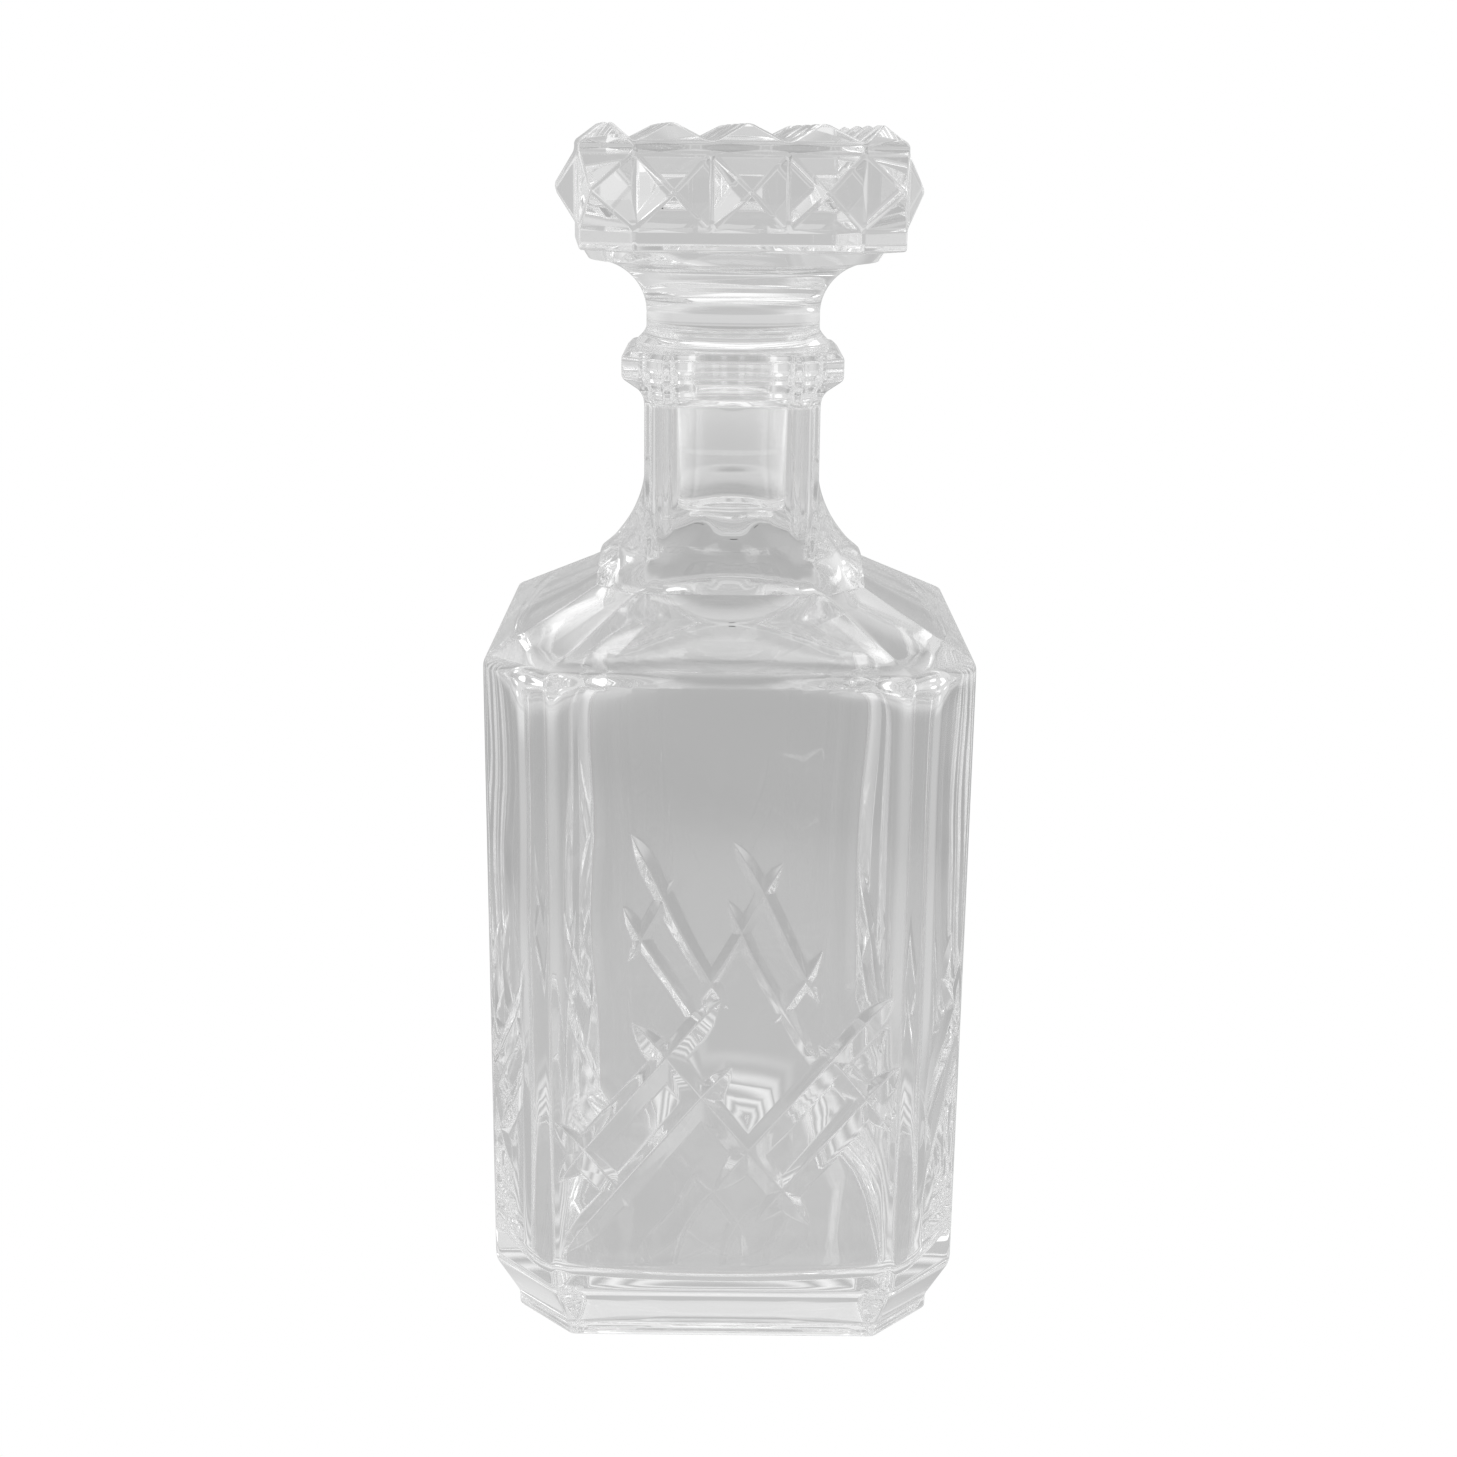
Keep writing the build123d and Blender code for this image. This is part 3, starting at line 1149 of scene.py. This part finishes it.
@dataclass
class Studio:
    """A glowing table with painted light and shade in a light tent, whose far side reads grey through
    the glass.
    """

    table_half: float = 6.0
    table_drop: float = 0.0002
    light_bounces: int = 40
    tent_level: float = 0.74
    table_level: Fade = Fade(0.16, 0.34, 0.51, 0.41)
    horizon: Fade = Fade(0.34, 1.10, 0.0, 0.13)
    front: Fade = Fade(-0.14, -0.01, 0.24, 0.0)
    flank: Fade = Fade(0.55, 0.95, 0.0, 0.16)
    flank_clear: Fade = Fade(0.12, 0.18, 0.0, 1.0)
    band_start: Fade = Fade(0.42, 0.62, 0.0, 0.13)
    band_end: Fade = Fade(0.85, 1.10, 0.0, -0.13)
    rim: Fade = Fade(1.6, 2.4, 0.0, 0.12)
    # painted rings of light on the table round the foot, seen through the glass
    painted_rings_inside: Fade = Fade(0.040, 0.052, 0.0, 1.0)
    painted_rings_outside: Fade = Fade(0.070, 0.100, 0.38, 0.0)
    painted_ring_spacing_mm: float = 11.0
    painted_ring_scale: float = 0.32
    glows: list[Glow] = field(default_factory=lambda: [
        Glow((0.0, 1.0, -0.10), 16, 34, -0.20),
        Glow((-0.55, 1.0, 0.6), 8, 22, -0.20),
        Glow((0.75, 0.1, 0.9), 8, 26, -0.28),
        Glow((-0.8, -0.5, 0.75), 8, 26, -0.25),
        Glow((0.3, -1.0, 0.2), 12, 30, -0.22),
        Glow((0.0, 0.25, 1.0), 14, 34, 0.35),
        Glow((0.0, 0.62, 0.78), 8, 24, 0.14),
        Glow((-1.0, -0.05, 0.30), 8, 20, 0.20),
        Glow((1.0, 0.05, 0.28), 8, 20, 0.40),
        Glow((0.45, -0.85, 0.45), 4, 10, 1.2),
        Glow((0.42, -0.90, 0.08), 4, 12, 1.6),
        Glow((-0.42, -0.90, 0.08), 4, 12, 1.6),
        Glow((-0.40, 0.75, 0.85), 4, 10, 1.2),
        Glow((0.60, 0.65, 0.55), 4, 9, 1.0),
        Glow((-0.85, 0.6, 0.18), 3, 8, 1.0),
    ])

    @staticmethod
    def lens_white(tree: bpy.types.NodeTree, kind: str, level: object) -> bpy.types.NodeSocket:
        """A light that is plain white to the lens and a given level to the glass.

        Args:
            tree: The node tree to add to.
            kind: The shader's type name.
            level: How bright it is to every other ray.

        Returns:
            The shader's output socket.
        """
        straight = add_node(tree, "ShaderNodeLightPath").outputs["Is Camera Ray"]
        strength = add_node(
            tree, "ShaderNodeMapRange", {"Value": straight, "To Min": level, "To Max": 1.0}
        ).outputs["Result"]
        white = linear("#FFFFFF")
        return add_node(tree, kind, {"Color": white, "Strength": strength}).outputs[0]

    def painted_caustic_rings(
        self, tree: bpy.types.NodeTree, place: bpy.types.NodeSocket, away: bpy.types.NodeSocket
    ) -> bpy.types.NodeSocket:
        """Painted rings of light on the table close round its foot, standing in for the light the
        glass would gather there.

        Args:
            tree: The table's node tree.
            place: Where on the table a point is.
            away: How far it is from the decanter's middle.

        Returns:
            How much light the rings add.
        """
        light = add_node(
            tree, "ShaderNodeTexWave",
            {"Vector": place, "Scale": self.painted_ring_scale / (self.painted_ring_spacing_mm * MM),
             "Distortion": 2.5, "Detail": 1.0, "Detail Scale": 0.6},
            wave_type="RINGS", rings_direction="Z",
        ).outputs["Fac"]
        for fade in (self.painted_rings_inside, self.painted_rings_outside):
            share = add_node(
                tree, "ShaderNodeMapRange", fade.inputs(away), interpolation_type="SMOOTHSTEP"
            ).outputs["Result"]
            light = add_node(
                tree, "ShaderNodeMath", {0: light, 1: share}, operation="MULTIPLY"
            ).outputs[0]
        return light

    def table(self) -> bpy.types.Object:
        """The table top, a glowing plane with painted light that fades from a lighter middle to a
        greyer far side.

        Returns:
            The table's mesh object.
        """
        span = self.table_half / MM
        drop = -self.table_drop / MM
        corners = [(-span, -span, drop), (span, -span, drop), (span, span, drop), (-span, span, drop)]
        top = mesh_from("table_top", corners, [(0, 1, 2, 3)])
        # the table glows by itself: plain white to the lens, and painted light and shade to the glass
        finish = bpy.data.materials.new("glowing_table_painted_light")
        finish.use_nodes = True
        tree = finish.node_tree
        tree.nodes.clear()
        place = add_node(tree, "ShaderNodeTexCoord").outputs["Object"]
        away = add_node(
            tree, "ShaderNodeVectorMath", {0: place}, operation="LENGTH"
        ).outputs["Value"]
        sides = add_node(tree, "ShaderNodeSeparateXYZ", {"Vector": place}).outputs["Y"]
        turned = add_node(tree, "ShaderNodeVectorMath", {0: place}, operation="NORMALIZE").outputs[0]
        across = add_node(
            tree, "ShaderNodeMath",
            {0: add_node(tree, "ShaderNodeSeparateXYZ", {"Vector": turned}).outputs["X"]},
            operation="ABSOLUTE",
        ).outputs[0]
        level, horizon, front, flank, clear, band_start, band_end, rim = [
            add_node(
                tree, "ShaderNodeMapRange", fade.inputs(value), interpolation_type="SMOOTHSTEP"
            ).outputs["Result"]
            for fade, value in (
                (self.table_level, away), (self.horizon, away), (self.front, sides),
                (self.flank, across), (self.flank_clear, away), (self.band_start, away),
                (self.band_end, away), (self.rim, away),
            )
        ]
        flank = add_node(
            tree, "ShaderNodeMath", {0: flank, 1: clear}, operation="MULTIPLY"
        ).outputs[0]
        # painted rings of light round the foot, added to the table's glow
        painted_rings = self.painted_caustic_rings(tree, place, away)
        for gain in (horizon, front, flank, band_start, band_end, rim, painted_rings):
            level = add_node(tree, "ShaderNodeMath", {0: level, 1: gain}, operation="ADD").outputs[0]
        shader = self.lens_white(tree, "ShaderNodeEmission", level)
        add_node(tree, "ShaderNodeOutputMaterial", {"Surface": shader})
        top.data.materials.append(finish)
        return top

    def tent(self) -> None:
        """The light tent all round, with its brighter patches."""
        world = bpy.data.worlds.new("light_tent")
        world.use_nodes = True
        tree = world.node_tree
        tree.nodes.clear()
        towards = add_node(tree, "ShaderNodeTexCoord").outputs["Generated"]
        level: object = self.tent_level
        for glow in self.glows:
            facing = add_node(
                tree, "ShaderNodeVectorMath",
                {0: towards, 1: Vector(glow.towards).normalized()}, operation="DOT_PRODUCT",
            ).outputs["Value"]
            edge = Fade(
                cos(radians(glow.outer_degrees)), cos(radians(glow.inner_degrees)), 0.0, glow.strength
            )
            patch = add_node(
                tree, "ShaderNodeMapRange", edge.inputs(facing), interpolation_type="SMOOTHSTEP"
            ).outputs["Result"]
            level = add_node(tree, "ShaderNodeMath", {0: level, 1: patch}, operation="ADD").outputs[0]
        shader = self.lens_white(tree, "ShaderNodeBackground", level)
        add_node(tree, "ShaderNodeOutputWorld", {"Surface": shader})
        bpy.context.scene.world = world

    def build(self) -> None:
        """Makes the tent and the table, and lets light pass through many walls of glass."""
        scene = bpy.context.scene
        scene.view_settings.view_transform = "Standard"
        scene.cycles.max_bounces = self.light_bounces
        scene.cycles.transmission_bounces = self.light_bounces
        scene.cycles.glossy_bounces = self.light_bounces
        self.tent()
        self.table()


# ---------------------------------------------------------------- all together


def report_piece(piece: bpy.types.Object) -> None:
    """Logs a piece's name, size and number of faces."""
    size = ", ".join(f"{side / MM:.1f}" for side in piece.dimensions)
    log.info("%s: %s mm, %d faces", piece.name, size, len(piece.data.polygons))


def main() -> None:
    """Builds the decanter, then the studio round it."""
    logging.basicConfig(level=logging.INFO, format="%(name)s %(message)s")
    Camera().build()
    for part in (Bottle(), Stopper()):
        report_piece(part.build())
    Studio().build()


if __name__ == "__main__":
    main()
